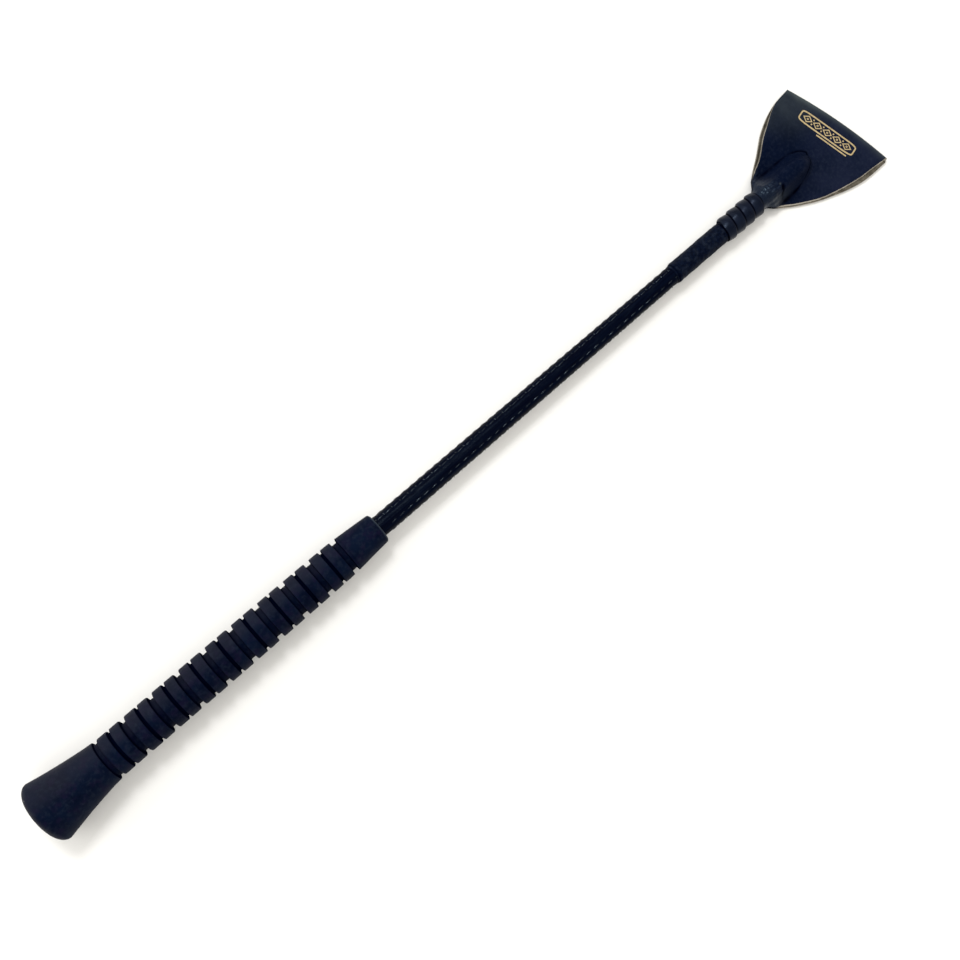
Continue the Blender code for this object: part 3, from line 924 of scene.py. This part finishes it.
def bevelled(x, left):
    """How much sooner the worn grain face stops than the flesh face."""
    if left:
        return 0.25 * smooth(451.5, 458.0, x) * (1.0 - smooth(476.0, 490.0, x))
    return 0.45 * smooth(451.5, 458.0, x)


def far_edge(across):
    """Station of the folded edge's outermost line."""
    far = lerp(RIGHT_SIDE[-1][0], LEFT_SIDE[-1][0], across)
    return far + FAR_EDGE_BULGE * 4.0 * across * (1.0 - across)


def hide_point(across, path, outer):
    """A point of the folded hide.

    across runs from 0 at the right side to 1 at the left. path runs from 0 at the upper tail's end, through 1
    at the start of the fold, to 2 at its end and 3 at the lower tail's end. outer picks the grain face or the
    flesh face.
    """
    thickness = 2.0 * LEATHER + LEAF_GAP
    fold = far_edge(across) - thickness / 2
    upper = path < 1.5
    folding = 1.0 < path < 2.0
    shrink = min(1.0, max(0.0, 2.0 - path))
    if folding:
        angle = math.pi * (path - 1.0)
        radius = thickness / 2 if outer else LEAF_GAP / 2
        x = fold + radius * math.sin(angle)
        z = thickness / 2 + radius * math.cos(angle)
    else:
        x = lerp(TAIL[0], fold, path if upper else 3.0 - path)
    right = side_offset(RIGHT_SIDE, x) + shrink * (inset(x, False) + (bevelled(x, False) if outer else 0.0))
    left = side_offset(LEFT_SIDE, x) - shrink * (inset(x, True) + (bevelled(x, True) if outer else 0.0))
    y = lerp(right, left, across)
    if folding:
        return x, y, z
    sign = 1.0 if upper else -1.0
    around = math.radians(84.0) * (2.0 * across - 1.0)
    radius = shaft_radius(x) + TAIL_GAP + (TAIL_LEATHER if outer else 0.0)
    tail_y = radius * math.sin(around)
    tail_z = axis_height(x) + sign * radius * math.cos(around)
    if upper:
        z = LEATHER + LEAF_GAP + pocket_height(x, y)
        if outer:
            z += LEATHER - crease(x, y) + hide_relief(x, y, across)
    else:
        z = 0.0 if outer else LEATHER
    spreading = smooth(TAIL[1] - 1.0, TAIL[1] + 6.0, x)
    flattening = smooth(TAIL[1] - 1.0, SPREAD_END, x)
    return x, lerp(tail_y, y, spreading), lerp(tail_z, z, flattening)


def hide_relief(x, y, across):
    """Small unevenness of the upper leaf, with folds gathered behind the pocket and worn-down cut edges."""
    edge = min(across, 1.0 - across)
    relief = -0.35 * (1.0 - smooth(0.0, 0.02, edge)) * smooth(455.0, 465.0, x)
    relief += 0.10 * lumps(x * 0.09, y * 0.09, 0.0)
    gather = smooth(446.5, 449.5, x) * (1.0 - smooth(456.0, 466.0, x))
    relief += gather * 0.6 * lumps(x * 0.32, y * 0.85, 3.0)
    relief += gather * 0.55 * lumps(x * 1.1, y * 0.4, 5.0)
    relief += 0.28 * bell(x - 452.6 - 0.05 * y, 0.6) * smooth(7.5, 4.0, abs(y))
    relief += 0.05 * lumps(x * 0.5, y * 0.5, 8.0)
    return relief - 0.1


def hide_faces(rows, columns):
    """The hide's faces and their kinds, which are the places in make_keeper's list of materials."""
    inner = rows * columns
    grain_kind, flesh_kind, edge_kind = 0, 1, 2
    faces, kinds = [], []
    for i in range(rows - 1):
        for j in range(columns - 1):
            a = i * columns + j
            faces.append((a, a + 1, a + columns + 1, a + columns))
            faces.append((inner + a, inner + a + columns, inner + a + columns + 1, inner + a + 1))
            kinds += [grain_kind, flesh_kind]
        for j in (0, columns - 1):
            a = i * columns + j
            faces.append((a, a + columns, inner + a + columns, inner + a))
            kinds.append(edge_kind)
    for i in (0, rows - 1):
        for j in range(columns - 1):
            a = i * columns + j
            faces.append((a, a + 1, inner + a + 1, inner + a))
            kinds.append(edge_kind)
    return faces, kinds


def columns_across(count):
    """Places across the hide from 0 to 1, closer together near the sides."""
    places = [math.cos(math.pi * (0.08 + 0.84 * j / (count - 1))) for j in range(count)]
    return [(places[0] - place) / (places[0] - places[-1]) for place in places]


def make_keeper(grain, flesh, cut_edge):
    upper_rows, fold_steps, lower_rows, columns = 200, 14, 70, 121
    upper = list(np.linspace(0.0, 1.0, upper_rows))
    fold = [1.0 + k / fold_steps for k in range(1, fold_steps)]
    lower = list(np.linspace(2.0, 3.0, lower_rows))
    paths = upper + fold + lower
    across = columns_across(columns)
    verts = [hide_point(a, p, outer) for outer in (True, False) for p in paths for a in across]
    faces, kinds = hide_faces(len(paths), len(across))
    mesh = facing_out("keeper_hide", verts, faces, kinds)
    made = placed("keeper_hide", mesh, (grain, flesh, cut_edge), FLAT, 50.0)
    # Painted shade along the pressed lines, on the upper grain face only.
    pressed = [min(1.0, 2.6 * crease(x, y)) if z > 2.5 else 0.0 for x, y, z in verts[: len(verts) // 2]]
    store(mesh, "pressed", pressed + [0.0] * len(pressed))
    # The worn value brings worn grain, painted sheen and a painted highlight to the grain's colour.
    store(mesh, "worn", [wear_and_sheen(x, y, a) for (x, y, _), a in zip(verts, across * (2 * len(paths)))])
    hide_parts("keeper_root_upper", "keeper_root_lower", "keeper_flap")
    bend(made)


def wear_and_sheen(x, y, across):
    """How much paler the grain is: worn and with a painted sheen at the fold, a painted sheen over the
    shorter side's corner, a painted highlight on one flank and worn at a scuff.
    """
    near = far_edge(across) - x
    fold = 0.9 * bell(near, 2.3) + 0.05 * bell(near, 6.0)
    corner = 0.38 * smooth(2.0, 28.0, y) * smooth(32.0, 8.0, near)
    scuff = 0.9 * bell(math.hypot(x - 459.5, y + 0.5), 0.45)
    flank = 0.16 * bell(y + 6.2, 1.8) * smooth(450.0, 455.0, x) * smooth(470.0, 460.0, x)
    return fold + corner + scuff + flank


def bend(piece):
    """Bakes the piece's place into its points. The hide would bend over about a centimetre where it leaves
    the shaft's stiff tip, but nothing here bends it.
    """
    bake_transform(piece)


# ---------------------------------------------------------------- foil ornament


def outline(points, width, closed):
    """The two sides of a flat stroke of a given width along a polyline."""
    count = len(points)
    left, right = [], []
    for i, p in enumerate(points):
        before = points[(i - 1) % count] if closed or i else p
        after = points[(i + 1) % count] if closed or i < count - 1 else p
        arriving = p - before if p != before else after - p
        leaving = after - p if after != p else arriving
        normal = Vector((-arriving.y, arriving.x)).normalized()
        mitre = (normal + Vector((-leaving.y, leaving.x)).normalized()).normalized()
        reach = 0.5 * width / max(0.5, mitre.dot(normal))
        left.append(p + mitre * reach)
        right.append(p - mitre * reach)
    return left, right


def add_stroke(verts, faces, points, width, closed):
    """A thin bar of foil along a polyline."""
    low, high = FOIL
    first = len(verts)
    for a, b in zip(*outline(points, width, closed)):
        verts += [(a.x, a.y, low), (a.x, a.y, high), (b.x, b.y, high), (b.x, b.y, low)]
    faces += ring_faces(len(points), 4, closed, first)
    if not closed:
        faces += end_faces(len(points), 4, first)


def loop(centre, half_u, half_v, power, count):
    """A closed superellipse: power 1 is a lozenge, 2 an ellipse, more a rounded bar."""

    def bulged(value):
        return math.copysign(abs(value) ** (2 / power), value)

    u, v = centre
    return [(u + half_u * bulged(math.cos(a)), v + half_v * bulged(math.sin(a))) for a in angles_round(count)]


def make_ornament(material):
    """A stamped frame with a chain of lozenges and a ruled line, in place of any wording."""
    verts, faces = [], []
    middle = Vector(ORNAMENT_MIDDLE)
    along_edge = Vector((-math.sin(ORNAMENT_SKEW), math.cos(ORNAMENT_SKEW)))
    across_edge = Vector((math.cos(ORNAMENT_SKEW), math.sin(ORNAMENT_SKEW)))

    def stroke(points, width, closed=True):
        placed_points = [middle + along_edge * u + across_edge * v for u, v in points]
        add_stroke(verts, faces, placed_points, width, closed)

    row = 1.9
    stroke(loop((0.0, row), 16.6, 2.9, 7.0, 72), 0.75)
    for k in range(LOZENGES):
        u = (k - LOZENGES // 2) * LOZENGE_PITCH
        stroke(loop((u, row), 2.45, 1.7, 1.0, 8), 0.5)
        stroke(loop((u, row), 0.4, 0.35, 2.0, 12), 0.35)
        if k < LOZENGES - 1:
            for dot in (row + 1.3, row - 1.3):
                stroke(loop((u + LOZENGE_PITCH / 2, dot), 0.25, 0.25, 2.0, 8), 0.36)
    stroke([(-14.5 + 6.2 * k, -2.5) for k in range(4)], 0.7, closed=False)
    made = placed("foil_ornament", facing_out("foil_ornament", verts, faces), (material,), FLAT, 35.0)
    bend(made)


# ---------------------------------------------------------------- stage, light, camera


def make_stage():
    """A floor just below the crop."""
    mesh = bpy.data.meshes.new("floor")
    reach = 4.0
    corners = [(-reach, -reach, 0.0), (reach, -reach, 0.0), (reach, reach, 0.0), (-reach, reach, 0.0)]
    mesh.from_pydata(corners, [], [(0, 1, 2, 3)])
    mesh.materials.append(floor_look())
    floor = bpy.data.objects.new("floor", mesh)
    floor.location.z = -FLOOR_GAP * MM
    bpy.context.scene.collection.objects.link(floor)


def area_light(name, location, size, power):
    """A white panel that faces the middle of the floor."""
    data = bpy.data.lights.new(name, "AREA")
    data.shape = "RECTANGLE"
    data.size, data.size_y = size
    data.energy = power
    made = bpy.data.objects.new(name, data)
    made.location = location
    made.rotation_euler = (-Vector(location)).to_track_quat("-Z", "Y").to_euler()
    bpy.context.scene.collection.objects.link(made)


def make_lights():
    """A big window on the left, a small lamp for the shadow's edge, and soft light from all round."""
    area_light("window", (-0.55, 1.25, 1.0), (2.8, 2.0), WINDOW_POWER)
    area_light("lamp", (0.12, 0.8, 1.5), (0.36, 0.36), LAMP_POWER)
    area_light("ceiling", (-0.25, 0.1, 2.0), (2.2, 1.6), CEILING_POWER)
    area_light("far window", (-0.1, -1.7, 0.9), (1.6, 1.0), FAR_WINDOW_POWER)
    world = bpy.data.worlds.new("room")
    world.use_nodes = True
    background = world.node_tree.nodes["Background"]
    background.inputs["Color"].default_value = WORLD_COLOUR
    background.inputs["Strength"].default_value = WORLD_STRENGTH
    bpy.context.scene.world = world


def make_camera():
    """Nearly straight down over the grip, turned so that the crop runs up to the right."""
    side = Vector((0.0, -1.0, 0.0))
    down = ALONG * math.sin(CAMERA_TILT) - UP * math.cos(CAMERA_TILT)
    level = ALONG * math.cos(CAMERA_TILT) + UP * math.sin(CAMERA_TILT)
    forward = down * math.cos(CAMERA_SWING) + side * math.sin(CAMERA_SWING)
    across = side * math.cos(CAMERA_SWING) - down * math.sin(CAMERA_SWING)
    right = level * math.cos(CAMERA_ROLL) + across * math.sin(CAMERA_ROLL)
    above = level * math.sin(CAMERA_ROLL) - across * math.cos(CAMERA_ROLL)
    data = bpy.data.cameras.new("camera")
    data.sensor_width = SENSOR_WIDTH
    data.lens = SENSOR_WIDTH * FOCAL_LENGTH
    data.clip_start = 0.01
    camera = bpy.data.objects.new("camera", data)
    turn = Matrix((right, above, -forward)).transposed().to_4x4()
    place = BUTT + ALONG * CAMERA_STATION * MM + UP * CAMERA_HEIGHT * MM
    camera.matrix_world = Matrix.Translation(place) @ turn
    bpy.context.scene.collection.objects.link(camera)
    bpy.context.scene.camera = camera


def dress_hidden_nodes(thread):
    """The pieces inside keep their CAD shape and only get materials."""
    looks = {
        "core_rod": core_look("fibreglass_core", (0.62, 0.60, 0.48), (0.42, 0.42, 0.34), 0.4),
        "filler_sleeve": core_look("filler_packing", (0.12, 0.12, 0.12), (0.06, 0.06, 0.06), 0.85),
        "tip_whipping": thread,
    }
    for name, material in looks.items():
        for slot in NODES[name].material_slots:
            slot.material = material


bpy.context.scene.view_settings.view_transform = "Standard"
make_camera()
make_stage()
make_lights()
thread = thread_look()
make_grip(rubber_look())
make_braid(braid_look())
make_stitches(stitch_look())
make_whipping(thread)
make_lace(lace_look())
make_keeper(
    grain_look(),
    suede_look("hide_flesh", (0.150, 0.134, 0.104), (0.046, 0.041, 0.030)),
    suede_look("hide_cut_edge", (0.54, 0.50, 0.435), (0.26, 0.235, 0.195)),
)
make_ornament(foil_look())
dress_hidden_nodes(thread)
